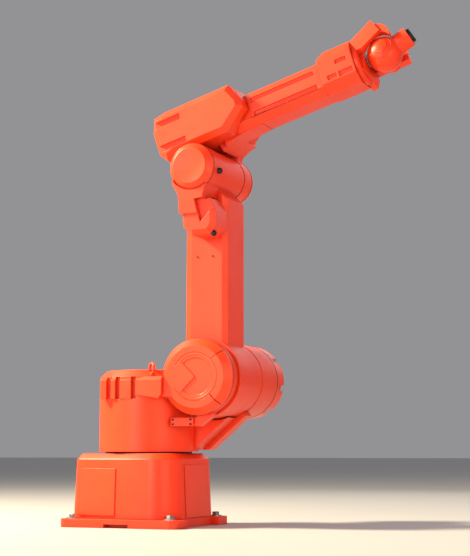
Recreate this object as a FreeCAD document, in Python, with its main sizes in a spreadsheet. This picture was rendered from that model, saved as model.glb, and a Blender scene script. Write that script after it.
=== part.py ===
"""Six-axis industrial robot arm on a square pedestal, built as a parametric FreeCAD document.

Frame: the first axis stands on the origin at floor level, X points the way the arm reaches,
Y to the robot's left, Z up. Millimetres and degrees. Every size sits in the sheet "Sizes";
each piece is one object whose label is the name of its STEP file. In the forearm's own frame
X runs along the forearm from the elbow axis and Z stands square to it; in the wrist's frame
X runs along the forearm's roll axis and Y along the bend axis.
"""
import FreeCAD
import Part
import Sketcher
import math
import os
import re

SIZES = {
    # foot plate
    "foot_half": 221,
    "foot_shift": -11,
    "foot_thickness": 28,
    "foot_corner": 30,
    "foot_notch_half": 127,
    "foot_notch_depth": 27,
    "side_notch_length": 92,
    "side_notch_height": 12,
    "side_notch_depth": 30,
    "anchor_front": 172,
    "anchor_side": 184,
    "anchor_rear": 196,
    "anchor_bore": 9,
    # pedestal casting and its covers
    "pedestal_top": 247,
    "pedestal_front": 184,
    "pedestal_rear": 220,
    "pedestal_half": 196,
    "pedestal_tail_half": 150,
    "pedestal_corner": 95,
    "pedestal_tail_corner": 36,
    "pedestal_draft": 2.6,
    "pedestal_bevel": 20,
    "cover_skin": 4,
    "side_cover_front": -32,
    "side_cover_length": 150,
    "side_cover_bottom": 38,
    "side_cover_height": 159,
    "front_cover_width": 170,
    "front_cover_bottom": 32,
    "front_cover_height": 176,
    "rear_panel_width": 200,
    "rear_panel_bottom": 60,
    "rear_panel_height": 140,
    "plug_radius": 27,
    "plug_length": 30,
    "plug_collar": 33,
    "plug_collar_depth": 8,
    # first axis and turret
    "bearing_radius": 150,
    "bearing_height": 5,
    "running_gap": 0.3,
    "drum_radius": 171,
    "drum_bevel": 24,
    "turret_top": 529,
    "belt_half_width": 172,
    "belt_front": 118,
    "belt_bottom": 430,
    "belt_top": 505,
    "belt_rear": 100,
    "belt_bevel": 12,
    "belt_drop": 14,
    "rib_slot_width": 18,
    "rib_slot_depth": 16,
    "lug_thickness": 26,
    "cheek_face": 158,
    "cheek_radius": 128,
    # shoulder
    "shoulder_x": 247,
    "shoulder_z": 501,
    "cover_depth": 36,
    "cover_bevel": 23,
    "cover_recess_radius": 82,
    "cover_recess_depth": 5,
    "cover_wedge": 78,
    "cover_groove": 3,
    "arm_half_width": 83,
    "side_gap": 5,
    "shoulder_reducer_radius": 104,
    "elbow_reducer_radius": 62,
    "hub_radius": 136,
    "arm_rest_angle": 62,
    "motor_radius": 130,
    "motor_joint": 128,
    "motor_body": 136,
    "motor_cap": 98,
    "motor_cap_bevel": 36,
    "motor_notch_width": 20,
    "motor_notch_depth": 18,
    "motor_notch_length": 80,
    # shoulder braces, bracket and lifting eye
    "brace_thickness": 52,
    "brace_foot_x": 150,
    "brace_foot_z": 259,
    "brace_head_x": 288,
    "brace_head_z": 392,
    "brace_depth": 40,
    "bracket_length": 84,
    "bracket_height": 29,
    "bracket_thickness": 10,
    "bracket_x": 143,
    "bracket_z": 337,
    "eye_x": 80,
    "eye_y": -140,
    "eye_ring": 17.5,
    "eye_wire": 5,
    "eye_shank": 9,
    "eye_turn": 40,
    # lower arm
    "arm_length": 705,
    "arm_half_low": 83,
    "arm_half_high": 78,
    "arm_bevel_rear": 34,
    "arm_bevel_front": 16,
    "crown_radius": 79,
    "crown_front_drop": 98,
    "clip_height": 27,
    "clip_depth": 12,
    "clip_drop": 150,
    # elbow
    "elbow_radius": 80,
    "elbow_face": 204,
    "elbow_cover_depth": 28,
    "elbow_cover_bevel": 18,
    "drive_bevel": 16,
    "drive_face": 188,
    "drive_recess_depth": 14,
    "neck_face": 194,
    "elbow_hub_end": 182,
    "elbow_hub_round": 24,
    "neck_end": 130,
    "elbow_rise": 164,
    "saddle_reach": 30,
    "gusset_half": 46,
    # forearm
    "forearm_tilt": 17.2,
    "box_half_width": 138,
    "box_bevel": 19,
    "box_top": 243,
    "box_floor": 88,
    "box_slot_width": 22,
    "box_slot_depth": 8,
    "beam_half_width": 72,
    "beam_half_height": 60,
    "beam_bevel": 26,
    "beam_start": 120,
    "beam_end": 492,
    "beam_drop": 12.5,
    "beam_groove": 7,
    "front_half_width": 82,
    "front_rise": 76,
    "front_drop": 76,
    "front_bevel": 34,
    "front_end": 614,
    "front_slope": 24,
    # wrist
    "wrist_reach": 706,
    "wrist_roll": 18,
    "wrist_bend": 17,
    "yoke_radius": 74,
    "yoke_ring": 16,
    "yoke_inner": 38,
    "yoke_outer": 70,
    "hand_gap": 3,
    "far_arm_thickness": 30,
    "yoke_boss_radius": 20,
    "hood_crest_radius": 50,
    "hood_mouth_radius": 51,
    "far_arm_lift": 9,
    "far_arm_reach": 61,
    "far_arm_half": 17,
    "hand_radius": 60,
    "neck_radius": 35,
    "neck_reach": 99,
    "tool_flange_radius": 25,
    "tool_flange_depth": 12,
    "tool_pilot_radius": 12.5,
    "tool_pilot_depth": 5,
    "tool_bolt_circle": 20,
    "tool_bolt_bore": 2.5,
}

# Frames as expressions: a place and a direction that later pieces are set in.
FLOOR = "placement(vector(0; 0; 0); rotation(vector(0; 0; 1); 0))"
SHOULDER = "placement(vector(shoulder_x; 0; shoulder_z); rotation(vector(0; 0; 1); 0))"
ELBOW = "placement(vector(shoulder_x; 0; shoulder_z + arm_length); rotation(vector(0; 0; 1); 0))"
FOREARM = ELBOW + " * placement(vector(0; 0; 0); rotation(vector(0; 1; 0); -forearm_tilt))"
ROLL_AXIS = FOREARM + " * placement(vector(0; 0; elbow_rise); rotation(vector(0; 0; 1); 0))"
WRIST = FOREARM + " * placement(vector(wrist_reach; 0; elbow_rise); rotation(vector(1; 0; 0); -wrist_roll))"
HAND = WRIST + " * placement(vector(0; 0; 0); rotation(vector(0; 1; 0); -wrist_bend))"

UPRIGHT = "rotation(vector(0; 0; 1); 0)"
ALONG_X = "rotation(vector(0; 1; 0); 90)"
AGAINST_X = "rotation(vector(0; 1; 0); -90)"
ALONG_Y = "rotation(vector(1; 0; 0); -90)"
AGAINST_Y = "rotation(vector(1; 0; 0); 90)"

doc = FreeCAD.newDocument("industrial_robot_arm")
sheet = doc.addObject("Spreadsheet::Sheet", "Sizes")
pieces = []


def fill_sheet():
    """Write every size into the sheet as a plain number with an alias."""
    for row, (alias, value) in enumerate(SIZES.items(), start=1):
        sheet.set("A%d" % row, alias)
        sheet.set("B%d" % row, str(value))
        sheet.setAlias("B%d" % row, alias)
    doc.recompute()


def cells(text):
    """Turn the size names in an expression into references to the sheet."""

    def refer(word):
        return "Sizes." + word.group() if word.group() in SIZES else word.group()

    return re.sub(r"[a-z][a-z_]*", refer, text)


def number(text):
    """Work out an expression now, for the points that a sketch starts from."""
    value = sheet.evalExpression(cells(text))
    return float(getattr(value, "Value", value))


def put(thing, frame, at=("0", "0", "0"), turn=UPRIGHT):
    """Tie an object's placement to a frame, a place in it and a turn there."""
    local = " * placement(vector(%s; %s; %s); %s)" % (at[0], at[1], at[2], turn)
    thing.setExpression("Placement", cells(frame + local))
    return thing


def block(name, size, frame=FLOOR, at=("0", "0", "0"), turn=UPRIGHT):
    """A box from its lowest corner."""
    thing = doc.addObject("Part::Box", name)
    for side, length in zip(("Length", "Width", "Height"), size):
        thing.setExpression(side, cells(length))
    return put(thing, frame, at, turn)


def rod(name, radius, height, frame=FLOOR, at=("0", "0", "0"), turn=UPRIGHT):
    """A cylinder that rises from its place along the turned Z direction."""
    thing = doc.addObject("Part::Cylinder", name)
    thing.setExpression("Radius", cells(radius))
    thing.setExpression("Height", cells(height))
    return put(thing, frame, at, turn)


def ball(name, radius, frame):
    """A full sphere at a frame's origin."""
    thing = doc.addObject("Part::Sphere", name)
    thing.setExpression("Radius", cells(radius))
    return put(thing, frame)


def bevelled_rod(name, radius, height, bevel, frame, at, turn):
    """A cylinder whose far end is bevelled, as a revolved profile."""
    body = new_body(name, frame, at, turn)
    corners = [("0", "0"), (radius, "0"), (radius, "%s - %s" % (height, bevel)),
               ("%s - %s" % (radius, bevel), height), ("0", height)]
    sketch = outline(body, name + "_profile", "XZ_Plane", corners)
    feature = body.newObject("PartDesign::Revolution", name + "_turned")
    feature.Profile = sketch
    feature.ReferenceAxis = (sketch, ["V_Axis"])
    feature.Angle = 360
    body.Tip = feature
    return body


def fuse(name, *parts):
    """Join pieces into one solid."""
    thing = doc.addObject("Part::MultiFuse", name)
    thing.Shapes = list(parts)
    thing.Refine = True
    return thing


def cut(name, base, *tools):
    """Take the tools away from the base."""
    thing = doc.addObject("Part::Cut", name)
    thing.Base = base
    thing.Tool = tools[0] if len(tools) == 1 else fuse(name + "_tools", *tools)
    thing.Refine = True
    return thing


def common(name, *parts):
    """Keep what all the pieces share."""
    thing = doc.addObject("Part::MultiCommon", name)
    thing.Shapes = list(parts)
    return thing


def new_body(name, frame, at=("0", "0", "0"), turn=UPRIGHT):
    """A PartDesign body set in a frame."""
    return put(doc.addObject("PartDesign::Body", name), frame, at, turn)


def corner_arc(before, corner, after, radius):
    """The tangent points and the centre of a round corner, and whether it turns clockwise."""
    back = (before - corner).normalize()
    ahead = (after - corner).normalize()
    half_angle = back.getAngle(ahead) / 2
    run = radius / math.tan(half_angle)
    centre = corner + (back + ahead).normalize() * (radius / math.sin(half_angle))
    return corner + back * run, corner + ahead * run, centre, back.cross(ahead).z > 0


def tie_point(sketch, geometry, end, place, texts):
    """Tie one point of a sketch to the sheet, across and up."""
    for kind, value, text in (("DistanceX", place.x, texts[0]), ("DistanceY", place.y, texts[1])):
        constraint = sketch.addConstraint(Sketcher.Constraint(kind, -1, 1, geometry, end, value))
        sketch.setExpression("Constraints[%d]" % constraint, cells(text))


def outline(body, name, plane, corners):
    """A closed sketch whose corners, and the radii of its round ones, are tied to the sheet.

    A guide polygon carries the corners. The drawn lines lie on it and meet in arcs.
    """
    sketch = body.newObject("Sketcher::SketchObject", name)
    origin_plane = [item for item in body.Origin.OriginFeatures if item.Role == plane][0]
    sketch.AttachmentSupport = [(origin_plane, "")]
    sketch.MapMode = "FlatFace"
    count = len(corners)
    places = [FreeCAD.Vector(number(corner[0]), number(corner[1]), 0) for corner in corners]
    for index, place in enumerate(places):
        sketch.addGeometry(Part.LineSegment(place, places[(index + 1) % count]), True)
    for index, place in enumerate(places):
        sketch.addConstraint(Sketcher.Constraint("Coincident", index, 2, (index + 1) % count, 1))
        tie_point(sketch, index, 1, place, corners[index][:2])
    arcs = {index: corner_arc(places[index - 1], places[index], places[(index + 1) % count],
                              number(corner[2]))
            for index, corner in enumerate(corners) if len(corner) > 2}
    for index, place in enumerate(places):
        following = (index + 1) % count
        start = arcs[index][1] if index in arcs else place
        end = arcs[following][0] if following in arcs else places[following]
        sketch.addGeometry(Part.LineSegment(start, end), False)
    for index in range(count):
        line = count + index
        previous = count + (index - 1) % count
        if index not in arcs:
            sketch.addConstraint(Sketcher.Constraint("Coincident", previous, 2, line, 1))
            sketch.addConstraint(Sketcher.Constraint("Coincident", line, 1, index, 1))
            continue
        begin, finish, centre, clockwise = arcs[index]
        first, last = (finish, begin) if clockwise else (begin, finish)
        radius = number(corners[index][2])
        circle = Part.Circle(centre, FreeCAD.Vector(0, 0, 1), radius)
        arc = sketch.addGeometry(Part.ArcOfCircle(circle, circle.parameter(first),
                                                  circle.parameter(last)), False)
        sketch.addConstraint(Sketcher.Constraint("PointOnObject", previous, 2, (index - 1) % count))
        sketch.addConstraint(Sketcher.Constraint("PointOnObject", line, 1, index))
        sketch.addConstraint(Sketcher.Constraint("Tangent", previous, 2, arc, 2 if clockwise else 1))
        sketch.addConstraint(Sketcher.Constraint("Tangent", line, 1, arc, 1 if clockwise else 2))
        constraint = sketch.addConstraint(Sketcher.Constraint("Radius", arc, radius))
        sketch.setExpression("Constraints[%d]" % constraint, cells(corners[index][2]))
    return sketch


def pad(body, sketch, length, side="One side", taper=None):
    """Pad a sketch of a body, on one side or on both."""
    feature = body.newObject("PartDesign::Pad", sketch.Name + "_pad")
    feature.Profile = sketch
    feature.SideType = side
    feature.setExpression("Length", cells(length))
    if taper:
        feature.setExpression("TaperAngle", cells(taper))
    body.Tip = feature
    doc.recompute()
    return feature


def prism(name, plane, corners, length, frame=FLOOR, at=("0", "0", "0"), side="Symmetric", turn=UPRIGHT):
    """A straight-sided prism as a body of its own."""
    body = new_body(name, frame, at, turn)
    pad(body, outline(body, name + "_outline", plane, corners), length, side)
    return body


def dress(body, kind, wanted, size):
    """Fillet or chamfer the edges that a test picks on a body's last feature."""
    base = body.Tip
    feature = body.newObject("PartDesign::" + kind, "%s_%s%d" % (body.Name, kind.lower(),
                                                                 len(body.Group)))
    names = ["Edge%d" % (index + 1) for index, edge in enumerate(base.Shape.Edges) if wanted(edge)]
    feature.Base = (base, names)
    feature.setExpression("Radius" if kind == "Fillet" else "Size", cells(size))
    body.Tip = feature
    doc.recompute()
    return feature


def piece(thing, label):
    """Name a finished sub-part and keep it for the export."""
    thing.Label = label
    pieces.append(thing)
    return thing


def runs(edge, axis):
    """Whether an edge runs mostly along one axis."""
    box = edge.BoundBox
    spans = {"x": box.XLength, "y": box.YLength, "z": box.ZLength}
    along = spans.pop(axis)
    return along > 4 * max(spans.values()) and along > 1


def at_level(axis, text):
    """A test for the edges that lie wholly at one level of an axis."""
    level = number(text)

    def wanted(edge):
        box = edge.BoundBox
        low, high = {"x": (box.XMin, box.XMax), "y": (box.YMin, box.YMax), "z": (box.ZMin,
                                                                                 box.ZMax)}[axis]
        return abs(low - level) < 0.01 and abs(high - level) < 0.01

    return wanted


def both_sides(length):
    """The two signs with the side each one stands for, and a length written on that side."""
    return (("right", "-(" + length + ")"), ("left", "(" + length + ")"))


def foot_plate():
    """Square foot plate: full notches front and rear, shallow notches under the sides."""
    body = new_body("foot_plate_body", FLOOR, ("foot_shift", "0", "0"))
    inner = "foot_half - foot_notch_depth"
    corners = [
        ("-foot_half", "-foot_half", "foot_corner"), ("foot_half", "-foot_half", "foot_corner"),
        ("foot_half", "-foot_notch_half"), (inner, "-foot_notch_half"),
        (inner, "foot_notch_half"), ("foot_half", "foot_notch_half"),
        ("foot_half", "foot_half", "foot_corner"), ("-foot_half", "foot_half", "foot_corner"),
    ]
    pad(body, outline(body, "foot_outline", "XY_Plane", corners), "foot_thickness")
    tools = []
    for side, edge in both_sides("foot_half"):
        tools.append(block("side_notch_" + side, ("side_notch_length", "2 * side_notch_depth",
                                                  "side_notch_height"),
                           FLOOR, ("foot_shift - side_notch_length / 2", edge + " - side_notch_depth",
                                   "0")))
    for end, along in (("front", "anchor_front"), ("rear", "-anchor_rear")):
        for side, across in both_sides("anchor_side"):
            tools.append(rod("anchor_%s_%s" % (end, side), "anchor_bore", "foot_thickness", FLOOR,
                             (along, across, "0")))
    piece(cut("foot_plate", body, *tools), "base_foot_plate")


def pedestal_form(name, extra):
    """The pedestal's outer form, grown by an extra skin."""
    body = new_body(name, FLOOR, ("0", "0", "foot_thickness"))
    front = "pedestal_front + " + extra
    half = "pedestal_half + " + extra
    rear = "-(pedestal_rear + " + extra + ")"
    tail = "pedestal_tail_half + " + extra
    nose = "pedestal_corner + " + extra
    tail_corner = "pedestal_tail_corner + " + extra
    corners = [(rear, "-(" + tail + ")", tail_corner), ("0", "-(" + half + ")"), (front,
                                                                                  "-(" + half + ")", nose),
               (front, half, nose), ("0", half), (rear, tail, tail_corner)]
    height = "pedestal_top - foot_thickness"
    pad(body, outline(body, name + "_outline", "XY_Plane", corners), height, "One side",
        "-pedestal_draft")
    dress(body, "Chamfer", at_level("z", height), "pedestal_bevel")
    return body


def pedestal():
    """Tapered pedestal with bolted covers on its sides and front, and the plug panel behind."""
    casting = piece(pedestal_form("pedestal_body", "0"), "base_casting")
    skin = pedestal_form("pedestal_skin", "cover_skin")
    reach = "2 * pedestal_half"
    side_size = ("side_cover_length", reach, "side_cover_height")
    side_rear = "side_cover_front - side_cover_length"
    windows = {
        "base_side_cover_right": (side_size, (side_rear, "-(%s)" % reach, "side_cover_bottom")),
        "base_side_cover_left": (side_size, (side_rear, "0", "side_cover_bottom")),
        "base_front_cover": ((reach, "front_cover_width", "front_cover_height"),
                             ("0", "-front_cover_width / 2", "front_cover_bottom")),
        "base_connector_panel": ((reach, "rear_panel_width", "rear_panel_height"),
                                 ("-(%s)" % reach, "-rear_panel_width / 2", "rear_panel_bottom")),
    }
    for label, (size, corner) in windows.items():
        window = block(label + "_window", size, FLOOR, corner)
        piece(cut(label + "_form", common(label + "_skin", skin, window), casting), label)


def connectors():
    """Two round power and signal sockets on the rear panel, as one row of plugs."""
    sockets = []
    for index, across in enumerate(("-50", "0", "50")):
        height = "rear_panel_bottom + rear_panel_height / 2"
        slope = "(rear_panel_height / 2 + rear_panel_bottom - foot_thickness) * tan(pedestal_draft)"
        back = "-(pedestal_rear + cover_skin - %s)" % slope
        collar = rod("plug_collar_%d" % index, "plug_collar / 1.5", "plug_collar_depth + 2", FLOOR,
                     (back + " + 2", across, height), AGAINST_X)
        barrel = rod("plug_barrel_%d" % index, "plug_radius / 1.5", "plug_length", FLOOR,
                     (back + " + 2", across, height), AGAINST_X)
        sockets.append(fuse("plug_%d" % index, collar, barrel))
    rail = block("plug_rail", ("6", "150", "50"), FLOOR, ("-(pedestal_rear + cover_skin - 4)", "-75",
                                                          height + " - 25"))
    piece(cut("plug_row", fuse("plugs", rail, *sockets), doc.getObject("pedestal_body"),
              doc.getObject("base_connector_panel_form")),
          "base_connectors")


def bearing_ring():
    ring = rod("bearing_ring", "bearing_radius", "bearing_height", FLOOR, ("0", "0", "pedestal_top"))
    piece(ring, "slewing_bearing_ring")


def turret():
    """One casting: round drum, the belt along both sides and the shoulder cheeks ahead of it."""
    base = "pedestal_top + bearing_height + running_gap"
    drum = bevelled_rod("drum", "drum_radius", "turret_top - (%s)" % base, "drum_bevel", FLOOR,
                        ("0", "0", base), UPRIGHT)
    belt = prism("belt", "XZ_Plane", [
        ("-belt_rear", "belt_bottom"), ("belt_rear / 3", "belt_bottom"), ("belt_rear / 3",
                                                                          "belt_bottom + belt_drop"),
        ("belt_front", "belt_bottom"), ("belt_front + belt_bevel", "belt_bottom + belt_drop"),
        ("belt_front + belt_bevel", "belt_top"), ("-belt_rear", "belt_top")], "2 * belt_half_width")
    core = block("belt_core", ("shoulder_x", "2 * (cheek_face - cover_depth)", "belt_top - belt_bottom"),
                 FLOOR,
                 ("0", "-(cheek_face - cover_depth)", "belt_bottom"))
    lug = prism("cheek_lug", "XZ_Plane", [
        ("bracket_x", "bracket_z"), ("shoulder_x", "bracket_z"), ("shoulder_x + 52", "bracket_z + 36"),
        ("shoulder_x + 52", "bracket_z + 90"), ("shoulder_x - 12", "bracket_z + 60"),
        ("shoulder_x - 12", "bracket_z + 30"), ("bracket_x", "bracket_z + 30")], "lug_thickness", FLOOR,
        ("0", "-(arm_half_width + side_gap + lug_thickness / 2)", "0"))
    top = number("belt_top")
    dress(belt, "Chamfer", lambda edge: runs(edge, "x") and edge.BoundBox.ZMin > top - 1, "belt_bevel")
    right = rod("cheek_right", "cheek_radius", "cheek_face - cover_depth - arm_half_width - side_gap",
                SHOULDER,
                ("0", "-(cheek_face - cover_depth)", "0"), ALONG_Y)
    left = rod("cheek_left", "cheek_radius", "motor_joint - arm_half_width - side_gap", SHOULDER,
               ("0", "arm_half_width + side_gap", "0"), ALONG_Y)
    slot_width = "2 * (arm_half_width + side_gap)"
    swing = rod("arm_swing", "hub_radius + side_gap", slot_width, SHOULDER,
                ("0", "-(arm_half_width + side_gap)", "0"), ALONG_Y)
    slot = block("arm_slot", ("2 * hub_radius", slot_width, "2 * hub_radius"), SHOULDER,
                 ("0", "-(arm_half_width + side_gap)", "-hub_radius - side_gap"))
    motor_seat = rod("motor_seat", "motor_radius + running_gap", "cheek_face", SHOULDER,
                     ("0", "motor_joint", "0"), ALONG_Y)
    leaning = SHOULDER + " * placement(vector(0; 0; 0); rotation(vector(0; 1; 0); -arm_rest_angle))"
    rest = block("arm_rest", ("arm_half_low + side_gap", slot_width, "2 * hub_radius"), leaning,
                 ("-arm_half_low - side_gap", "-(arm_half_width + side_gap)", "0"))
    seat = rod("cover_seat", "cheek_radius + running_gap", "cover_depth", SHOULDER, ("0", "-cheek_face",
                                                                                     "0"), ALONG_Y)
    slots = []
    for side, face in both_sides("belt_half_width"):
        for index, along in enumerate(("-78", "-44", "16")):
            slots.append(block("rib_slot_%s_%d" % (side, index),
                               ("rib_slot_width", "2 * rib_slot_depth", "belt_top - belt_bottom"),
                               FLOOR, (along, face + " - rib_slot_depth", "belt_bottom")))
    mass = fuse("turret_mass", drum, belt, core, lug, right, left)
    piece(cut("turret_form", mass, swing, slot, motor_seat, rest, seat, *slots), "turret_casting")
    for side, low in (("right", "-(arm_half_width + side_gap)"), ("left",
                                                                  "arm_half_width + running_gap")):
        reducer = rod("shoulder_reducer_form_" + side, "shoulder_reducer_radius",
                      "side_gap - running_gap",
                      SHOULDER, ("0", low, "0"), ALONG_Y)
        piece(reducer, "shoulder_reducer_" + side)


def shoulder_cover():
    """Round bevelled cover with a dished face, a raised wedge and radial split lines."""
    disc = bevelled_rod("shoulder_disc", "cheek_radius", "cover_depth", "cover_bevel", SHOULDER,
                        ("0", "-(cheek_face - cover_depth)", "0"), AGAINST_Y)
    tab = block("shoulder_tab", ("cheek_radius - cover_recess_radius", "cover_depth - 1",
                                 "2 * belt_drop + 40"), SHOULDER,
                ("-cheek_radius + 6", "-cheek_face + 1", "belt_top - shoulder_z - 2 * belt_drop - 42"))
    dish = rod("shoulder_dish", "cover_recess_radius", "cover_recess_depth", SHOULDER,
               ("0", "-(cheek_face - cover_recess_depth)", "0"), AGAINST_Y)
    wedge = block("shoulder_wedge", ("cover_wedge", "cover_recess_depth", "cover_wedge"), SHOULDER,
                  ("0", "-cheek_face", "0"), "rotation(vector(0; 1; 0); -135)")
    face = common("wedge_in_dish", wedge, rod("wedge_rim", "cover_recess_radius", "cover_depth", SHOULDER,
                                              ("0", "-(cheek_face - cover_depth)", "0"), AGAINST_Y))
    grooves = [block("split_line_%d" % index, ("cheek_radius", "cover_depth - cover_bevel / 2",
                                               "cover_groove"), SHOULDER,
                     ("0", "-cheek_face", "0"), "rotation(vector(0; 1; 0); %s)" % angle)
               for index, angle in enumerate(("-42", "48"))]
    ring_grooves = [cut("split_%d" % index, groove, rod("split_core_%d" % index, "cover_recess_radius",
                                                        "cover_depth",
                                                       SHOULDER, ("0", "-cheek_face", "0"), ALONG_Y))
                    for index, groove in enumerate(grooves)]
    tab = cut("shoulder_tab_form", tab, doc.getObject("turret_form"))
    piece(cut("shoulder_cover_form", fuse("shoulder_disc_tab", disc, tab), cut("dish_cut", dish, face),
              *ring_grooves), "shoulder_cover_right")


def shoulder_motor():
    """Drive housing on the robot's left with a bevelled cap, notched around its rim."""
    housing = rod("motor_barrel", "motor_radius", "motor_body", SHOULDER, ("0", "motor_joint", "0"),
                  ALONG_Y)
    piece(housing, "shoulder_motor_housing")
    cap = bevelled_rod("motor_cap_form", "motor_radius", "motor_cap", "motor_cap_bevel", SHOULDER,
                       ("0", "motor_joint + motor_body", "0"), ALONG_Y)
    notches = [block("motor_notch_%d" % index, ("2 * motor_notch_depth", "motor_notch_length",
                                                "motor_notch_width"),
                     SHOULDER + " * placement(vector(0; 0; 0); rotation(vector(0; 1; 0); %d))" % angle,
                     ("motor_radius - motor_notch_depth",
                      "motor_joint + motor_body + motor_cap - motor_notch_length",
                      "-motor_notch_width / 2"))
               for index, angle in enumerate(range(10, 370, 45))]
    piece(cut("motor_cap_cut", cap, *notches), "shoulder_motor_cover")


def shoulder_braces():
    """Two diagonal ribs from the turret's lower front up to the shoulder cheeks."""
    motor = rod("brace_clear", "cheek_radius", "4 * cheek_radius", SHOULDER, ("0", "-2 * cheek_radius",
                                                                              "0"), ALONG_Y)
    swing = rod("brace_swing", "hub_radius + side_gap", "2 * (arm_half_width + side_gap)", SHOULDER,
                ("0", "-(arm_half_width + side_gap)", "0"), ALONG_Y)
    for label, low, back in (("shoulder_brace_outer", "arm_half_width + side_gap", "0"),
                             ("shoulder_brace_inner",
                              "arm_half_width + side_gap - 1.5 * brace_thickness", "24")):
        rib = prism(label + "_rib", "XZ_Plane", [
            ("brace_foot_x - brace_depth", "brace_foot_z"), ("brace_foot_x + brace_depth - " + back,
                                                             "brace_foot_z"),
            ("brace_head_x + brace_depth - " + back, "brace_head_z - 16"), ("brace_head_x",
                                                                            "brace_head_z + brace_depth"),
            ("brace_foot_x - brace_depth", "brace_foot_z + brace_depth")],
            "brace_thickness" if back == "0" else "1.5 * brace_thickness", FLOOR,
            ("0", low + " + brace_thickness * " + ("0.5" if back == "0" else "0.75"), "0"))
        drum = rod(label + "_drum", "drum_radius", "turret_top", FLOOR)
        piece(cut(label + "_form", rib, motor, swing, drum, doc.getObject("motor_seat")), label)


def turret_fittings():
    """Lifting eyebolt on the belt and a small bracket plate ahead of the drum."""
    ring = doc.addObject("Part::Torus", "eye_ring_form")
    ring.setExpression("Radius1", cells("eye_ring"))
    ring.setExpression("Radius2", cells("eye_wire"))
    turned = FLOOR + " * placement(vector(eye_x; eye_y; belt_top); rotation(vector(0; 0; 1); -eye_turn))"
    put(ring, turned, ("0", "0", "eye_shank + eye_ring"), ALONG_Y)
    shank = rod("eye_shank_form", "eye_shank", "eye_shank", FLOOR, ("eye_x", "eye_y", "belt_top"))
    piece(cut("eyebolt_form", fuse("eyebolt", ring, shank), doc.getObject("turret_form")),
          "lifting_eyebolt")
    plate = block("bracket_plate", ("bracket_length", "bracket_thickness", "bracket_height"), FLOOR,
                  ("bracket_x", "-(arm_half_width + side_gap + lug_thickness + bracket_thickness)",
                   "bracket_z"))
    piece(plate, "turret_side_bracket")


def lower_arm():
    """Lower arm casting: hub ring, bevelled column and round crown in one piece."""
    hub = rod("arm_hub", "hub_radius", "2 * arm_half_width", SHOULDER, ("0", "-arm_half_width", "0"),
              ALONG_Y)
    crown = rod("arm_crown", "crown_radius", "2 * arm_half_width", ELBOW, ("0", "-arm_half_width", "0"),
                ALONG_Y)
    column = prism("arm_column", "XZ_Plane", [
        ("-arm_half_low", "0"), ("arm_half_low", "0"), ("arm_half_low", "arm_length - crown_front_drop"),
        ("arm_half_high - 30", "arm_length - crown_front_drop + 32"), ("arm_half_high - 30",
                                                                       "arm_length"),
        ("-arm_half_high", "arm_length")], "2 * arm_half_width", SHOULDER)
    tall = 100
    dress(column, "Chamfer", lambda edge: edge.BoundBox.ZLength > tall and edge.CenterOfMass.x < 0,
          "arm_bevel_rear")
    dress(column, "Chamfer", lambda edge: edge.BoundBox.ZLength > tall
          and edge.BoundBox.XMin > number("arm_half_low") - 1
          and abs(edge.CenterOfMass.y) > number("arm_half_width") - 1, "arm_bevel_front")
    piece(fuse("arm_casting", hub, crown, column), "lower_arm_casting")
    clip = block("arm_clip_form", ("clip_depth * 2", "clip_depth", "clip_height"), SHOULDER,
                 ("arm_half_low - arm_bevel_front - clip_depth * 2", "arm_half_width",
                  "arm_length - clip_drop"))
    piece(clip, "arm_side_clip")


def elbow_drive():
    """Drive housing on the right of the elbow: round barrel with a neck and a motor case below it."""
    case = prism("drive_case", "XZ_Plane", [
        ("-40", "-120"), ("-36", "-200"), ("-4", "-232"), ("62", "-232"), ("84", "-202"), ("84", "-150"),
        ("62", "-108")], "drive_face - arm_half_width", ELBOW, ("0",
                                                                "-(drive_face + arm_half_width) / 2", "0"))
    dress(case, "Chamfer", at_level("y", "-(drive_face - arm_half_width) / 2"), "drive_bevel")
    neck = prism("drive_neck", "XZ_Plane", [
        ("-70", "-20"), ("-68", "-58"), ("-46", "-96"), ("-42", "-160"), ("36", "-160"), ("44", "-96"),
        ("64", "-20")], "neck_face - arm_half_width", ELBOW, ("0", "-(neck_face + arm_half_width) / 2",
                                                              "0"))
    seat = rod("elbow_cover_seat", "elbow_radius + running_gap", "elbow_cover_depth + 1", ELBOW,
               ("0", "-(elbow_face - elbow_cover_depth)", "0"), AGAINST_Y)
    recess = prism("drive_recess", "XZ_Plane", [("12", "-112"), ("32", "-192"), ("78", "-142"), ("62",
                                                                                                 "-104")],
                   "2 * drive_recess_depth", ELBOW, ("0", "-drive_face", "0"))
    barrel = rod("drive_barrel", "elbow_radius", "elbow_face - elbow_cover_depth - arm_half_width", ELBOW,
                 ("0", "-(elbow_face - elbow_cover_depth)", "0"), ALONG_Y)
    housing = cut("drive_form", fuse("drive_mass", case, cut("drive_neck_form", neck, seat), barrel),
                  recess)
    piece(housing, "elbow_drive_housing")
    cover = bevelled_rod("elbow_cover_form", "elbow_radius", "elbow_cover_depth", "elbow_cover_bevel",
                         ELBOW,
                         ("0", "-(elbow_face - elbow_cover_depth)", "0"), AGAINST_Y)
    piece(cover, "elbow_cover_right")
    reducer = rod("elbow_reducer_form", "elbow_reducer_radius", "side_gap - running_gap", ELBOW,
                  ("0", "arm_half_width", "0"), ALONG_Y)
    piece(reducer, "elbow_reducer")


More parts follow.
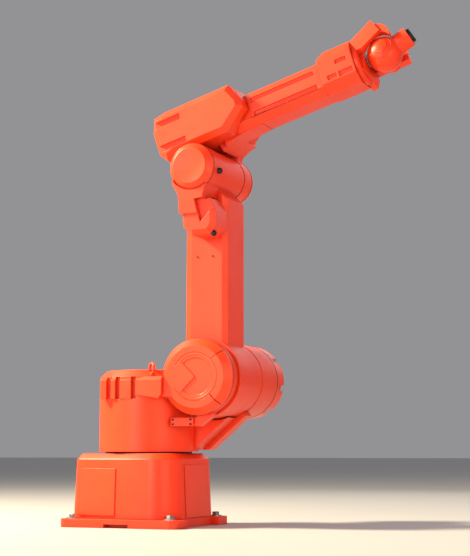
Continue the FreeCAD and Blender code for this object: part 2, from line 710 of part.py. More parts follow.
def elbow_casting():
    """Forearm casting at the elbow: round hub on the left and the neck that carries the forearm."""
    hub = bevelled_rod("elbow_hub", "elbow_radius", "elbow_hub_end - arm_half_width - side_gap",
                       "elbow_hub_round", ELBOW,
                       ("0", "arm_half_width + side_gap", "0"), ALONG_Y)
    neck = prism("elbow_neck", "XZ_Plane", [
        ("-74", "0"), ("72", "0"), ("66", "52", "30"), ("92", "78", "20"), ("134", "90"),
        ("134", "beam_start"), ("-60", "beam_start"), ("-74", "60")],
        "neck_end - arm_half_width - side_gap", FOREARM,
        ("0", "(neck_end + arm_half_width + side_gap) / 2", "0"))
    saddle = prism("elbow_saddle", "XZ_Plane", [
        ("70", "60"), ("110", "78"), ("136", "82"), ("136", "100"), ("60", "100")],
        "neck_end + saddle_reach", FOREARM, ("0", "(neck_end - saddle_reach) / 2", "0"))
    gusset = prism("elbow_gusset", "XZ_Plane", [
        ("90", "69"), ("110", "78"), ("150", "84"), ("240", "91"), ("240", "100"), ("90", "100")],
        "2 * gusset_half", FOREARM)
    piece(cut("elbow_casting_form", fuse("elbow_casting_mass", hub, neck, saddle, gusset),
              doc.getObject("rear_box")), "elbow_casting")


def motor_box():
    """Wide bevelled housing behind the forearm with two slots at its rear on each side."""
    box = prism("rear_box", "XZ_Plane", [
        ("-66", "box_top"), ("-110", "box_top - 8"), ("-127", "box_top - 58"), ("-125", "104"), ("-102",
                                                                                                 "72"),
        ("-62", "box_floor"), ("134", "box_floor"), ("214", "150"), ("214", "182"), ("184", "box_top")],
        "2 * box_half_width", FOREARM)
    face = number("box_half_width")
    dress(box, "Chamfer", lambda edge: abs(abs(edge.CenterOfMass.y) - face) < 0.01
          and edge.BoundBox.YLength < 0.01,
          "box_bevel")
    slots = []
    for side, across in both_sides("box_half_width"):
        for index, height in enumerate(("202", "118")):
            slots.append(block("box_slot_%s_%d" % (side, index), ("140", "2 * box_slot_depth",
                                                                  "box_slot_width"), FOREARM,
                               ("-150", across + " - box_slot_depth", height + " - box_slot_width / 2")))
    piece(cut("rear_box_cut", box, *slots), "forearm_motor_housing")


def octagon(half_width, rise, drop, bevel):
    """Corners of a bevelled section around the roll axis."""
    return [("-(%s) + %s" % (half_width, bevel), "-(%s)" % drop), ("%s - %s" % (half_width, bevel),
                                                                   "-(%s)" % drop),
            (half_width, "-(%s) + %s" % (drop, bevel)), (half_width, "%s - %s" % (rise, bevel)),
            ("%s - %s" % (half_width, bevel), rise), ("-(%s) + %s" % (half_width, bevel), rise),
            ("-(%s)" % half_width, "%s - %s" % (rise, bevel)), ("-(%s)" % half_width,
                                                                "-(%s) + %s" % (drop, bevel))]


def forearm_beam():
    """Bevelled beam from the motor housing to the wrist end, with long shallow grooves on its sides."""
    beam = prism("beam", "YZ_Plane", octagon("beam_half_width", "beam_half_height - beam_drop",
                                             "beam_half_height + beam_drop", "beam_bevel"),
                 "beam_end - beam_start", ROLL_AXIS, ("beam_start", "0", "0"), "One side")
    grooves = []
    for side, across in both_sides("beam_half_width"):
        for index, height in enumerate(("beam_half_height - beam_drop - beam_bevel - 16",
                                        "-beam_half_height - beam_drop + beam_bevel + 2")):
            grooves.append(block("beam_groove_%s_%d" % (side, index), ("beam_end - 252",
                                                                       "2 * beam_groove", "16"), ROLL_AXIS,
                                 ("230", across + " - beam_groove", height)))
    box = doc.getObject("rear_box")
    casting = doc.getObject("elbow_casting_form")
    piece(cut("beam_form", beam, box, casting, *grooves), "forearm_beam")


def forearm_front():
    """Wrist end of the forearm: a larger bevelled housing with pockets in its sides."""
    front = prism("front_housing", "YZ_Plane", octagon("front_half_width", "front_rise", "front_drop",
                                                       "front_bevel"),
                  "front_end - beam_end", ROLL_AXIS, ("beam_end", "0", "0"), "One side")
    rear_top = number("front_rise")
    dress(front, "Chamfer", lambda edge: edge.BoundBox.XMax < 0.01 and edge.BoundBox.ZMin > rear_top - 1,
          "front_slope")
    pockets = []
    for side, across in both_sides("front_half_width"):
        pockets.append(block("pocket_top_" + side, ("40", "12", "14"), ROLL_AXIS,
                             ("front_end - 60", across + " - 6", "front_rise - front_bevel - 34")))
        pockets.append(block("pocket_low_" + side, ("34", "12", "16"), ROLL_AXIS,
                             ("beam_end + 22", across + " - 6", "-front_drop + front_bevel + 6")))
        pockets.append(block("pocket_end_" + side, ("50", "12", "18"), ROLL_AXIS,
                             ("front_end - 58", across + " - 6", "-front_drop + front_bevel + 4")))
    piece(cut("front_form", front, *pockets), "forearm_front_housing")


def wrist_yoke():
    """Rolling yoke: a ring on the forearm's end, a raised hood on the right, a plain arm on the left."""
    rear = "front_end - wrist_reach + running_gap"
    inner = "(hand_radius + hand_gap)"
    ring = bevelled_rod("yoke_disc", "yoke_radius", "yoke_ring", "yoke_ring / 3", WRIST, (rear, "0",
                                                                                          "0"), ALONG_X)
    right = "-(yoke_outer + yoke_inner) / 2"
    hood = prism("hood", "XZ_Plane", [
        (rear, "10"), (rear, "52"), ("-4", "103"), ("18", "51"), ("-55", "10")],
        "yoke_outer - yoke_inner", WRIST, ("0", right, "0"))
    crest = rod("hood_crest", "hood_crest_radius", "yoke_outer - yoke_inner - 8", WRIST,
                ("-4", "-yoke_outer + 8", "hood_crest_radius - 13"), ALONG_Y)
    mouth = rod("hood_mouth", "hood_mouth_radius", "yoke_outer - yoke_inner", WRIST, ("0", "-yoke_outer",
                                                                                      "0"), ALONG_Y)
    web = prism("yoke_web", "XZ_Plane", [
        (rear, "-54"), (rear + " + yoke_ring + 4", "-50"), ("-62", "-24"), ("-62", "30"), (rear, "48")],
        inner + " + far_arm_thickness + yoke_inner", WRIST,
        ("0", "(" + inner + " + far_arm_thickness - yoke_inner) / 2", "0"))
    far = block("far_arm", ("far_arm_reach - (%s)" % rear, "far_arm_thickness", "2 * far_arm_half"),
                WRIST, (rear, inner, "far_arm_lift - far_arm_half"))
    boss = rod("far_boss", "yoke_boss_radius", "far_arm_thickness - 6", WRIST, ("0", inner, "0"),
               ALONG_Y)
    clear = ball("hand_clear", "hand_radius + hand_gap", WRIST)
    mass = fuse("yoke_mass", ring, hood, cut("hood_crest_form", crest, mouth), web, far, boss)
    piece(cut("yoke_form", mass, clear), "wrist_yoke")


def wrist_hand():
    """Round bend housing beside the yoke's arm with its neck, and the tool flange on the end."""
    hub = rod("hand_hub", "yoke_boss_radius", "hand_radius + hand_gap - running_gap", HAND, ("0", "0", "0"),
              ALONG_Y)
    neck = rod("hand_neck", "neck_radius", "neck_reach", HAND, ("0", "0", "0"), ALONG_X)
    piece(fuse("hand", ball("hand_ball", "hand_radius", HAND), hub, neck), "wrist_bend_housing")
    start = "neck_reach + running_gap"
    disc = rod("flange_disc", "tool_flange_radius", "tool_flange_depth", HAND, (start, "0", "0"), ALONG_X)
    pilot = rod("flange_pilot", "tool_pilot_radius", "tool_pilot_depth", HAND,
                (start + " + tool_flange_depth - tool_pilot_depth", "0", "0"), ALONG_X)
    holes = [rod("flange_hole_%d" % index, "tool_bolt_bore", "tool_flange_depth", HAND,
                 (start, "tool_bolt_circle * cos(%d)" % angle,
                  "tool_bolt_circle * sin(%d)" % angle), ALONG_X)
             for index, angle in enumerate(range(45, 405, 90))]
    piece(cut("flange_form", disc, pilot, *holes), "tool_flange")


def check_and_export():
    """Refuse a broken object, then write one STEP file for each sub-part."""
    doc.recompute()
    for thing in doc.Objects:
        if "Invalid" in thing.State or "Error" in thing.State:
            raise RuntimeError("%s: %s" % (thing.Label, thing.State))
    os.makedirs("parts", exist_ok=True)
    for thing in pieces:
        if thing.Shape.isNull() or not thing.Shape.isValid():
            raise RuntimeError(thing.Label + " has no valid shape")
        thing.Shape.exportStep("parts/%s.step" % thing.Label)


fill_sheet()
foot_plate()
pedestal()
connectors()
bearing_ring()
turret()
shoulder_cover()
shoulder_motor()
shoulder_braces()
turret_fittings()
lower_arm()
elbow_drive()
motor_box()
elbow_casting()
forearm_beam()
forearm_front()
wrist_yoke()
wrist_hand()
check_and_export()
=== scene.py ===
"""Looks of a six-axis industrial robot arm: painted castings, screws, seams, sockets and a plain studio.

Metres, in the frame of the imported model: the first axis stands on the origin at floor level, X points the
way the arm reaches and Z points up.
"""

import bmesh
import bpy
import math
from mathutils import Matrix, Vector


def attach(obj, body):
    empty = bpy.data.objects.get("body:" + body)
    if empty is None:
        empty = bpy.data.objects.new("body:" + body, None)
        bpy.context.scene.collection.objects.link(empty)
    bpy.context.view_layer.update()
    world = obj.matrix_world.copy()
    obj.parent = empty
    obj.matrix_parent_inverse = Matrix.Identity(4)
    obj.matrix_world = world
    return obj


AHEAD = Vector((1, 0, 0))
BEHIND = Vector((-1, 0, 0))
RIGHT = Vector((0, -1, 0))
LEFT = Vector((0, 1, 0))
UP = Vector((0, 0, 1))

SHOULDER = Vector((0.247, 0, 0.501))
ELBOW = Vector((0.247, 0, 1.206))
FOREARM_TILT = 17.2
ROLL_HEIGHT = 0.164
WRIST_REACH = 0.706
WRIST_ROLL = 18
WRIST_BEND = 17

EDGE_ROUNDING = 0.0026
STEEL_EDGE_ROUNDING = 0.0008
WELD_DISTANCE = 0.00002
FLAT_ANGLE = math.radians(0.6)
BEVEL_ANGLE = math.radians(28)
SMOOTH_ANGLE = math.radians(36)

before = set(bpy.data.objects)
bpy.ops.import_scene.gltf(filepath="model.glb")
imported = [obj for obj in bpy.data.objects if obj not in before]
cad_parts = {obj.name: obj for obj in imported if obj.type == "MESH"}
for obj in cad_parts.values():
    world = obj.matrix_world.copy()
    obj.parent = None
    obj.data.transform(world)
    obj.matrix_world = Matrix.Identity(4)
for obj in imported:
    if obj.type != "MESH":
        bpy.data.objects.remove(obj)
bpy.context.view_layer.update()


# ---------------------------------------------------------------- materials

def node(tree, kind, inputs=None, **settings):
    """Add a shader node, set its properties, and set or link its inputs."""
    made = tree.nodes.new(kind)
    for name, value in settings.items():
        setattr(made, name, value)
    for name, value in (inputs or {}).items():
        fill(tree, made.inputs[name], value)
    return made


def fill(tree, socket, value):
    """Link a socket to another node's output, or set it to a plain value."""
    if isinstance(value, bpy.types.NodeSocket):
        tree.links.new(value, socket)
    else:
        socket.default_value = value


def start(name):
    """A new material with its tree, its shader and the piece's own coordinates."""
    material = bpy.data.materials.new(name)
    material.use_nodes = True
    tree = material.node_tree
    shader = tree.nodes["Principled BSDF"]
    place = node(tree, "ShaderNodeTexCoord").outputs["Object"]
    return material, tree, shader, place


def noise(tree, place, scale, detail=3.0, roughness=0.55):
    """Noise between 0 and 1, with its grain set by the scale in cells a metre."""
    return node(tree, "ShaderNodeTexNoise", {"Vector": place, "Scale": scale, "Detail": detail,
                                             "Roughness": roughness}).outputs["Fac"]


def spread(tree, value, span, result):
    """Map a span of a value to another range, clamped."""
    return node(tree, "ShaderNodeMapRange", {"Value": value, "From Min": span[0], "From Max": span[1],
                                             "To Min": result[0], "To Max": result[1]}).outputs["Result"]


def multiply(tree, first, second):
    return node(tree, "ShaderNodeMath", {0: first, 1: second}, operation="MULTIPLY").outputs["Value"]


def blend_colours(tree, factor, first, second):
    """Mix two colours. Each is a node's output or three numbers."""
    mixed = node(tree, "ShaderNodeMix", data_type="RGBA")
    fill(tree, mixed.inputs[0], factor)
    for index, colour in ((6, first), (7, second)):
        fill(tree, mixed.inputs[index], colour if isinstance(colour, bpy.types.NodeSocket) else (*colour, 1))
    return mixed.outputs[2]


def bump(tree, height, strength, distance, normal=None):
    """A normal raised by a height, on top of another normal."""
    inputs = {"Height": height, "Strength": strength, "Distance": distance}
    if normal:
        inputs["Normal"] = normal
    return node(tree, "ShaderNodeBump", inputs).outputs["Normal"]


def rounded_normal(tree, radius):
    return node(tree, "ShaderNodeBevel", {"Radius": radius}, samples=4).outputs["Normal"]


def edge_mask(tree, radius, place, scale):
    """Bright along the outer edges of the form, broken up by noise."""
    soft = rounded_normal(tree, radius)
    plain = node(tree, "ShaderNodeNewGeometry").outputs["Normal"]
    turn = node(tree, "ShaderNodeVectorMath", {0: soft, 1: plain}, operation="DOT_PRODUCT").outputs["Value"]
    edge = spread(tree, turn, (0.995, 0.90), (0.0, 1.0))
    broken = spread(tree, noise(tree, place, scale, detail=5.0, roughness=0.7), (0.50, 0.66), (0.0, 1.0))
    return multiply(tree, edge, broken)


def paint(name, light, deep, dust, roughness=0.42, wear=0.35):
    """Semi-gloss enamel over castings: orange-peel skin, slight tone drift, patches of dust, painted shade
    darkening the corners, rubbed edges.
    """
    material, tree, shader, place = start(name)
    drift = spread(tree, noise(tree, place, 2.6, detail=4.0), (0.3, 0.7), (0.0, 1.0))
    tone = blend_colours(tree, drift, light, deep)
    cloud = spread(tree, noise(tree, place, 14.0, detail=6.0, roughness=0.65), (0.45, 0.75), (0.0, 0.10))
    tone = blend_colours(tree, cloud, tone, dust)
    # Painted shade: ambient occlusion darkens the enamel towards a deep red in corners, creases and recesses.
    shade = node(tree, "ShaderNodeAmbientOcclusion", {"Distance": 0.03}, samples=4).outputs["AO"]
    painted_corner_shade = spread(tree, shade, (0.35, 0.9), (0.55, 0.0))
    tone = blend_colours(tree, painted_corner_shade, tone, (deep[0] * 0.35, deep[1] * 0.3, deep[2] * 0.35))
    rubbed = multiply(tree, edge_mask(tree, 0.0035, place, 60.0), wear)
    worn = (min(light[0] * 1.1, 1), light[1] * 2.6 + 0.05, light[2] * 2.6 + 0.04)
    fill(tree, shader.inputs["Base Color"], blend_colours(tree, rubbed, tone, worn))
    gloss = noise(tree, place, 9.0, detail=5.0)
    fill(tree, shader.inputs["Roughness"],
         spread(tree, gloss, (0.3, 0.7), (roughness - 0.05, roughness + 0.09)))
    for label, value in (("Specular IOR Level", 0.38), ("Coat Weight", 0.08), ("Coat Roughness", 0.25)):
        shader.inputs[label].default_value = value
    cast = bump(tree, noise(tree, place, 34.0), 0.10, 0.0022, rounded_normal(tree, 0.0022))
    peel = bump(tree, noise(tree, place, 420.0, detail=2.0), 0.12, 0.0006, cast)
    fill(tree, shader.inputs["Normal"], peel)
    return material


def metal(name, colour, roughness, metallic=1.0, wear=0.4):
    """Machined or blackened steel with fine directional grain, smudges and bright edges."""
    material, tree, shader, place = start(name)
    grain = (260.0, 260.0, 22.0)
    stretched = node(tree, "ShaderNodeMapping", {"Vector": place, "Scale": grain}).outputs["Vector"]
    lines = noise(tree, stretched, 1.0, detail=4.0, roughness=0.6)
    smudge = spread(tree, noise(tree, place, 22.0, detail=5.0), (0.35, 0.7), (0.0, 1.0))
    tone = blend_colours(tree, smudge, colour, [part * 0.62 for part in colour])
    rubbed = multiply(tree, edge_mask(tree, 0.0015, place, 120.0), wear)
    bright = (0.46, 0.45, 0.44)
    fill(tree, shader.inputs["Base Color"], blend_colours(tree, rubbed, tone, bright))
    fill(tree, shader.inputs["Roughness"],
         spread(tree, lines, (0.3, 0.7), (roughness - 0.07, roughness + 0.12)))
    shader.inputs["Metallic"].default_value = metallic
    fill(tree, shader.inputs["Normal"], bump(tree, lines, 0.18, 0.0004, rounded_normal(tree, 0.0009)))
    return material


def rubber(name, colour):
    """Matt black seal or socket plastic with a fine moulded grain."""
    material, tree, shader, place = start(name)
    speck = spread(tree, noise(tree, place, 900.0, detail=2.0), (0.4, 0.7), (0.0, 0.5))
    pale = [part * 1.8 + 0.01 for part in colour]
    fill(tree, shader.inputs["Base Color"], blend_colours(tree, speck, colour, pale))
    fill(tree, shader.inputs["Roughness"],
         spread(tree, noise(tree, place, 40.0, detail=4.0), (0.3, 0.7), (0.5, 0.72)))
    fill(tree, shader.inputs["Normal"], bump(tree, noise(tree, place, 1400.0, detail=2.0), 0.25, 0.0003))
    return material


ORANGE = paint("orange_enamel", (0.96, 0.060, 0.012), (0.92, 0.042, 0.008), (0.93, 0.10, 0.035))
ORANGE_COVER = paint("orange_cover_enamel", (0.96, 0.066, 0.014), (0.93, 0.047, 0.010),
                     (0.93, 0.11, 0.040), roughness=0.38, wear=0.3)
BLACK = metal("blackened_steel", (0.035, 0.035, 0.040), 0.40, metallic=0.85)
STEEL = metal("machined_steel", (0.42, 0.42, 0.43), 0.33)
SCREW = metal("black_oxide_screw", (0.045, 0.043, 0.045), 0.36, metallic=0.9, wear=0.5)
SEAL = rubber("seal_rubber", (0.018, 0.016, 0.018))
SOCKET = rubber("socket_plastic", (0.022, 0.022, 0.024))


# ---------------------------------------------------------------- shaping helpers

def smooth_by_angle():
    """A small geometry group that leaves only the edges sharper than a limit unsmoothed."""
    group = bpy.data.node_groups.new("smooth_by_angle", "GeometryNodeTree")
    group.interface.new_socket("Geometry", in_out="INPUT", socket_type="NodeSocketGeometry")
    group.interface.new_socket("Geometry", in_out="OUTPUT", socket_type="NodeSocketGeometry")
    entry = group.nodes.new("NodeGroupInput")
    leave = group.nodes.new("NodeGroupOutput")
    angle = group.nodes.new("GeometryNodeInputMeshEdgeAngle")
    limit = group.nodes.new("FunctionNodeCompare")
    limit.data_type = "FLOAT"
    limit.operation = "LESS_THAN"
    limit.inputs[1].default_value = SMOOTH_ANGLE
    faces = group.nodes.new("GeometryNodeSetShadeSmooth")
    faces.domain = "FACE"
    faces.inputs["Shade Smooth"].default_value = True
    edges = group.nodes.new("GeometryNodeSetShadeSmooth")
    edges.domain = "EDGE"
    group.links.new(angle.outputs["Unsigned Angle"], limit.inputs[0])
    group.links.new(entry.outputs[0], faces.inputs["Geometry"])
    group.links.new(faces.outputs[0], edges.inputs["Geometry"])
    group.links.new(limit.outputs[0], edges.inputs["Shade Smooth"])
    group.links.new(edges.outputs[0], leave.inputs[0])
    return group


SMOOTH = smooth_by_angle()


def soften(thing, width, merge):
    """Rounded edges as geometry: weld, merge flat triangles if asked, bevel, and shade by face area."""
    weld = thing.modifiers.new("weld", "WELD")
    weld.merge_threshold = WELD_DISTANCE
    if merge:
        flat = thing.modifiers.new("flat", "DECIMATE")
        flat.decimate_type = "DISSOLVE"
        flat.angle_limit = FLAT_ANGLE
    bevel = thing.modifiers.new("bevel", "BEVEL")
    bevel.width = width
    bevel.segments = 2
    bevel.limit_method = "ANGLE"
    bevel.angle_limit = BEVEL_ANGLE
    bevel.use_clamp_overlap = True
    shading = thing.modifiers.new("shading", "NODES")
    shading.node_group = SMOOTH
    normals = thing.modifiers.new("normals", "WEIGHTED_NORMAL")
    normals.keep_sharp = True


def forget_normals(mesh):
    """Drop imported split normals, so that the modifiers' own shading shows."""
    if "custom_normal" in mesh.attributes:
        mesh.attributes.remove(mesh.attributes["custom_normal"])


def along(origin, direction):
    """A matrix at a point whose Z axis runs along a direction."""
    z = Vector(direction).normalized()
    x = UP.cross(z)
    x = x.normalized() if x.length > 1e-4 else AHEAD
    y = z.cross(x)
    turn = Matrix((x, y, z)).transposed().to_4x4()
    return Matrix.Translation(origin) @ turn


def circle_of(centre, axis, radius, count, first_angle):
    """Matrices evenly spaced on a circle, all pointing along its axis."""
    base = along(centre, axis)
    return [base @ Matrix.Rotation(math.radians(first_angle) + 2 * math.pi * k / count, 4, "Z")
            @ Matrix.Translation((radius, 0, 0)) for k in range(count)]


def surface(label, origin, direction):
    """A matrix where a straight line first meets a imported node, with Z out of its surface."""
    hit, place, normal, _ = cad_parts[label].ray_cast(Vector(origin), direction)
    if not hit:
        raise RuntimeError("nothing of %s on that line" % label)
    return along(place, normal)


def ring_point(radius, angle, height):
    return Vector((radius * math.cos(angle), radius * math.sin(angle), height))


def join_rings(shape, lower, upper):
    """Quads between two rings of points, or triangles where one ring is a single point."""
    for k in range(max(len(lower), len(upper))):
        following = (k + 1) % max(len(lower), len(upper))
        if len(lower) == 1:
            shape.faces.new((lower[0], upper[following], upper[k]))
        elif len(upper) == 1:
            shape.faces.new((lower[k], lower[following], upper[0]))
        else:
            shape.faces.new((lower[k], lower[following], upper[following], upper[k]))


def lathe(shape, profile, matrix, count=32):
    """Add a turned form: profile is (radius, height) points, turned about the matrix's Z axis."""
    rings = []
    for radius, height in profile:
        around = count if radius > 0 else 1
        rings.append([shape.verts.new(matrix @ ring_point(radius, 2 * math.pi * k / count, height))
                      for k in range(around)])
    for lower, upper in zip(rings, rings[1:]):
        join_rings(shape, lower, upper)


def socket_screw(shape, matrix, radius):
    """Socket head cap screw: bevelled head with a hexagonal socket sunk in it."""
    count = 24
    height = radius * 1.15
    rim = radius * 0.62
    socket = radius * 0.46 * math.cos(math.pi / 6)
    lathe(shape, [(radius, -height * 0.3), (radius, height * 0.8), (radius * 0.86, height), (rim, height)],
          matrix, count)
    outer, hexagon, floor = [], [], []
    for k in range(count):
        angle = 2 * math.pi * k / count
        reach = socket / math.cos((angle % (math.pi / 3)) - math.pi / 6)
        outer.append(shape.verts.new(matrix @ ring_point(rim, angle, height)))
        hexagon.append(shape.verts.new(matrix @ ring_point(reach, angle, height)))
        floor.append(shape.verts.new(matrix @ ring_point(reach, angle, height * 0.35)))
    bottom = [shape.verts.new(matrix @ Vector((0, 0, height * 0.3)))]
    for lower, upper in ((outer, hexagon), (hexagon, floor), (floor, bottom)):
        join_rings(shape, lower, upper)


def hex_bolt(shape, matrix, radius):
    """Hexagon head bolt on a washer, with the end chamfer of a real head."""
    washer = radius * 0.28
    lathe(shape, [(radius * 1.75, 0), (radius * 1.75, washer), (radius * 1.05, washer)], matrix)
    across = radius * 1.1
    levels = ((washer, across), (washer + radius * 0.85, across), (washer + radius, across * 0.90))
    rings = [[shape.verts.new(matrix @ ring_point(reach, math.pi * k / 3, height)) for k in range(6)]
             for height, reach in levels]
    for lower, upper in zip(rings, rings[1:]):
        join_rings(shape, lower, upper)
    shape.faces.new(rings[-1])


def finish_piece(name, shape, body, material):
    """Make a mesh of a shape, as a piece that rides on a body and takes its finish from a slot."""
    bmesh.ops.recalc_face_normals(shape, faces=shape.faces)
    mesh = bpy.data.meshes.new(name)
    shape.to_mesh(mesh)
    shape.free()
    for polygon in mesh.polygons:
        polygon.use_smooth = True
    mesh.materials.append(material)
    thing = bpy.data.objects.new(name, mesh)
    bpy.context.scene.collection.objects.link(thing)
    shading = thing.modifiers.new("shading", "NODES")
    shading.node_group = SMOOTH
    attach(thing, body)


def screws(name, body, matrices, radius, material=SCREW, kind=socket_screw):
    """Many like screws as one piece."""
    shape = bmesh.new()
    for matrix in matrices:
        kind(shape, matrix, radius)
    bmesh.ops.remove_doubles(shape, verts=shape.verts, dist=1e-6)
    finish_piece(name, shape, body, material)


def turned(name, body, profile, matrix, material):
    """One turned piece."""
    shape = bmesh.new()
    lathe(shape, profile, matrix, 96)
    finish_piece(name, shape, body, material)


def bead(radius, half, reach):
    """Profile of a thin raised band round a joint, closed on itself."""
    return [(radius - reach, -half), (radius + reach * 0.6, -half), (radius + reach, -half * 0.4),
            (radius + reach, half * 0.4), (radius + reach * 0.6, half), (radius - reach, half),
            (radius - reach, -half)]


def seam(name, body, radius, place, direction, half=0.0011):
    """A dark sealing line round a round joint between two housings."""
    turned(name, body, bead(radius, half, 0.0006), along(place, direction), SEAL)


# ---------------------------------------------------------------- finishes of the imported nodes

STEEL_NODES = {"tool_flange": BLACK, "slewing_bearing_ring": BLACK, "base_connectors": SOCKET,
               "shoulder_reducer_right": STEEL, "shoulder_reducer_left": STEEL, "elbow_reducer": STEEL}
COVERS = {"shoulder_cover_right", "shoulder_motor_cover", "elbow_cover_right", "base_side_cover_right",
          "base_side_cover_left", "base_front_cover", "base_connector_panel", "forearm_motor_housing"}
# The merged faces of this beam would wrap round its grooves and fold over themselves.
KEEPS_TRIANGLES = {"forearm_beam"}

for label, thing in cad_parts.items():
    finish = STEEL_NODES.get(label) or (ORANGE_COVER if label in COVERS else ORANGE)
    thing.data.materials.clear()
    thing.data.materials.append(finish)
    forget_normals(thing.data)
    soften(thing, STEEL_EDGE_ROUNDING if label in STEEL_NODES else EDGE_ROUNDING,
           label not in KEEPS_TRIANGLES)


# ---------------------------------------------------------------- base

FOOT_TOP = 0.028
ANCHOR_PLACES = [(x, y) for x in (0.172, -0.196) for y in (-0.184, 0.184)]
ANCHOR_BOLT_RADIUS = 0.012
PANEL_SCREW_PLACES = [(y, z) for y in (-0.088, 0.088) for z in (0.072, 0.188)]
PANEL_SCREW_RADIUS = 0.0042
SOCKET_PLACES = (-0.05, 0, 0.05)
SOCKET_FACE = -0.2459
SOCKET_HEIGHT = 0.13
SOCKET_RIM = [(0.0182, -0.004), (0.0194, -0.003), (0.0194, 0.0), (0.0172, 0.0015), (0.0150, 0.0),
              (0.0148, -0.003)]
PIN = [(0.0013, -0.004), (0.0013, 0.0005), (0.0, 0.0012)]
PIN_COUNT = 6
PIN_CIRCLE = 0.0088


def connector_details():
    """Steel rims round the three sockets of the rear panel, and the pins in them."""
    shape = bmesh.new()
    for across in SOCKET_PLACES:
        socket = along(Vector((SOCKET_FACE, across, SOCKET_HEIGHT)), BEHIND)
        lathe(shape, SOCKET_RIM, socket, 48)
        for k in range(PIN_COUNT):
            turn = Matrix.Rotation(2 * math.pi * k / PIN_COUNT, 4, "Z")
            lathe(shape, PIN, socket @ turn @ Matrix.Translation((PIN_CIRCLE, 0, 0)), 12)
    finish_piece("connector_rims_and_pins", shape, "base", STEEL)


screws("anchor_bolts", "base", [along(Vector((x, y, FOOT_TOP)), UP) for x, y in ANCHOR_PLACES],
       ANCHOR_BOLT_RADIUS, STEEL, hex_bolt)
screws("connector_panel_screws", "base",
       [surface("base_connector_panel", (-0.4, y, z), AHEAD) for y, z in PANEL_SCREW_PLACES],
       PANEL_SCREW_RADIUS)
connector_details()

# ---------------------------------------------------------------- shoulder

DISH_FLOOR = SHOULDER + RIGHT * 0.153
DISH_STEPS = [(0.0815, -0.0005), (0.0815, 0.0034), (0.0800, 0.0042), (0.0730, 0.0042), (0.0715, 0.0030),
              (0.0640, 0.0030), (0.0620, 0.0006), (0.0, 0.0006)]
CAP_FACE = SHOULDER + LEFT * 0.362
CAP_STEPS = [(0.060, -0.0005), (0.060, 0.0004), (0.059, 0.0009), (0.051, 0.0009), (0.050, 0.0002),
             (0.020, 0.0002), (0.019, 0.0008), (0.0, 0.0008)]
CAP_SCREW_SEAT = SHOULDER + LEFT * 0.3572
CAP_SCREW_CIRCLE = 0.082
CAP_SCREW_RADIUS = 0.005
BRACKET_FACE = -0.124
BRACKET_SCREW_PLACES = [(x, z) for x in (0.152, 0.218) for z in (0.3435, 0.3595)]
BRACKET_SCREW_RADIUS = 0.0036

turned("shoulder_dish_rings", "turret", DISH_STEPS, along(DISH_FLOOR, RIGHT), ORANGE_COVER)
seam("shoulder_cover_seam", "turret", 0.128, SHOULDER + RIGHT * 0.1222, RIGHT, 0.0012)
seam("motor_cover_seam", "turret", 0.130, SHOULDER + LEFT * 0.264, LEFT, 0.0012)
turned("motor_cap_ring", "turret", CAP_STEPS, along(CAP_FACE, LEFT), ORANGE_COVER)
screws("motor_cover_screws", "turret", circle_of(CAP_SCREW_SEAT, LEFT, CAP_SCREW_CIRCLE, 8, 22),
       CAP_SCREW_RADIUS)
screws("bracket_screws", "turret",
       [along(Vector((x, BRACKET_FACE, z)), RIGHT) for x, z in BRACKET_SCREW_PLACES], BRACKET_SCREW_RADIUS)

# ---------------------------------------------------------------- lower arm and elbow

ARM_FACE = -0.083
ARM_PLUG_PLACES = ((0.222, 0.913), (0.280, 0.913))
ARM_PLUG_RADIUS = 0.0030
ELBOW_RADIUS = 0.080
ELBOW_DISH_STEPS = [(0.0610, -0.0005), (0.0600, 0.0022), (0.0560, 0.0022), (0.0500, 0.0006), (0.0, 0.0006)]
POCKET_PLACES = ((-0.140, 1.194), (-0.121, 1.098), (-0.160, 0.981))
POCKET_SCREW_RADIUS = 0.0100

screws("arm_face_plugs", "lower_arm", [along(Vector((x, ARM_FACE, z)), RIGHT) for x, z in ARM_PLUG_PLACES],
       ARM_PLUG_RADIUS)
seam("elbow_cover_seam", "lower_arm", ELBOW_RADIUS, ELBOW + RIGHT * 0.1762, RIGHT)
turned("elbow_cover_dish", "lower_arm", ELBOW_DISH_STEPS, along(ELBOW + RIGHT * 0.204, RIGHT),
       ORANGE_COVER)
screws("drive_pocket_screws", "lower_arm",
       [surface("elbow_drive_housing", (0.6, y, z), BEHIND) for y, z in POCKET_PLACES], POCKET_SCREW_RADIUS)
seam("elbow_hub_seam", "forearm", ELBOW_RADIUS, ELBOW + LEFT * 0.150, LEFT)

# ---------------------------------------------------------------- wrist

HAND = (Matrix.Translation(ELBOW) @ Matrix.Rotation(-math.radians(FOREARM_TILT), 4, "Y")
        @ Matrix.Translation((0, 0, ROLL_HEIGHT)) @ Matrix.Translation((WRIST_REACH, 0, 0))
        @ Matrix.Rotation(-math.radians(WRIST_ROLL), 4, "X")
        @ Matrix.Rotation(-math.radians(WRIST_BEND), 4, "Y"))
HAND_CENTRE = HAND.translation
HAND_RIGHT = HAND.to_3x3() @ RIGHT
HAND_AHEAD = HAND.to_3x3() @ AHEAD
BEND_CAP = [(0.0265, -0.001), (0.0265, 0.0015), (0.0250, 0.0026), (0.0100, 0.0044), (0.0085, 0.0036),
            (0.0, 0.0036)]
NECK_SCREW_CIRCLE = 0.0291
NECK_SCREW_RADIUS = 0.0019

turned("bend_cap_ring", "wrist_bend", bead(0.0395, 0.0022, 0.0013),
       along(HAND_CENTRE + HAND_RIGHT * 0.0448, HAND_RIGHT), ORANGE_COVER)
turned("bend_cap", "wrist_bend", BEND_CAP, along(HAND_CENTRE + HAND_RIGHT * 0.0536, HAND_RIGHT),
       ORANGE_COVER)
turned("neck_band", "wrist_bend", bead(0.033, 0.0030, 0.0012),
       along(HAND_CENTRE + HAND_AHEAD * 0.0880, HAND_AHEAD), ORANGE_COVER)
screws("neck_screws", "wrist_bend",
       circle_of(HAND_CENTRE + HAND_AHEAD * 0.0990, HAND_AHEAD, NECK_SCREW_CIRCLE, 6, 30), NECK_SCREW_RADIUS)

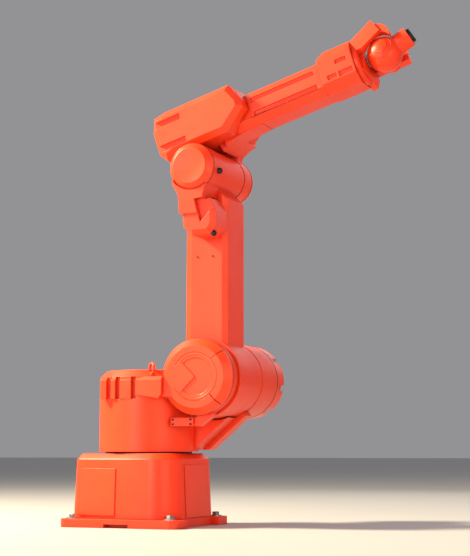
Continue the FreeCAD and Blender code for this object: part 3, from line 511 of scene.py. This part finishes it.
# ---------------------------------------------------------------- camera, light and floor

CAMERA_HEADING = math.radians(23.43)
CAMERA_PITCH = math.radians(6.96)
FLOOR_SIZE = 120
FLOOR_LEVEL = -0.0005

scene = bpy.context.scene


def aim(thing, place, direction):
    """Put a camera or a lamp in the scene, looking along a direction."""
    scene.collection.objects.link(thing)
    thing.location = place
    thing.rotation_mode = "QUATERNION"
    thing.rotation_quaternion = direction.to_track_quat("-Z", "Y")


def lamp(name, place, target, size, power, colour):
    """A round soft lamp."""
    light = bpy.data.lights.new(name, "AREA")
    light.shape = "DISK"
    light.size = size
    light.energy = power
    light.color = colour
    aim(bpy.data.objects.new(name, light), place, Vector(target) - Vector(place))


camera = bpy.data.objects.new("camera", bpy.data.cameras.new("camera"))
aim(camera, (2.2662, -4.4770, 0.2489), Vector((-math.sin(CAMERA_HEADING) * math.cos(CAMERA_PITCH),
                                               math.cos(CAMERA_HEADING) * math.cos(CAMERA_PITCH),
                                               math.sin(CAMERA_PITCH))))
camera.data.sensor_width = 36
camera.data.lens = 92.66
camera.data.dof.use_dof = False
camera.data.clip_end = 200
scene.camera = camera

lamp("key", (-3.2, -1.5, 3.6), (0.2, 0, 0.9), 1.0, 760, (1.0, 0.86, 0.58))
lamp("front_fill", (-0.6, -5.0, 1.4), (0.25, 0, 0.8), 2.4, 78, (1.0, 0.92, 0.82))
lamp("right_fill", (3.8, -2.6, 1.3), (0.3, 0, 0.8), 3.2, 88, (1.0, 0.64, 0.42))
lamp("back_rim", (0.3, 4.2, 2.4), (0.3, 0, 0.9), 3.0, 26, (1.0, 0.92, 0.90))

world = bpy.data.worlds.new("studio")
world.use_nodes = True
world.node_tree.nodes["Background"].inputs["Color"].default_value = (0.86, 0.85, 0.88, 1)
world.node_tree.nodes["Background"].inputs["Strength"].default_value = 0.34
scene.world = world

bpy.ops.mesh.primitive_plane_add(size=FLOOR_SIZE, location=(0, 0, FLOOR_LEVEL))
floor = bpy.context.object
floor.name = "floor"
floor_material, floor_tree, floor_shader, floor_place = start("pale_floor")
floor_tone = blend_colours(floor_tree, noise(floor_tree, floor_place, 1.2), (0.50, 0.49, 0.50),
                           (0.54, 0.53, 0.54))
fill(floor_tree, floor_shader.inputs["Base Color"], floor_tone)
floor_shader.inputs["Roughness"].default_value = 0.6
floor.data.materials.append(floor_material)

scene.view_settings.view_transform = "Standard"
scene.view_settings.exposure = 0.0
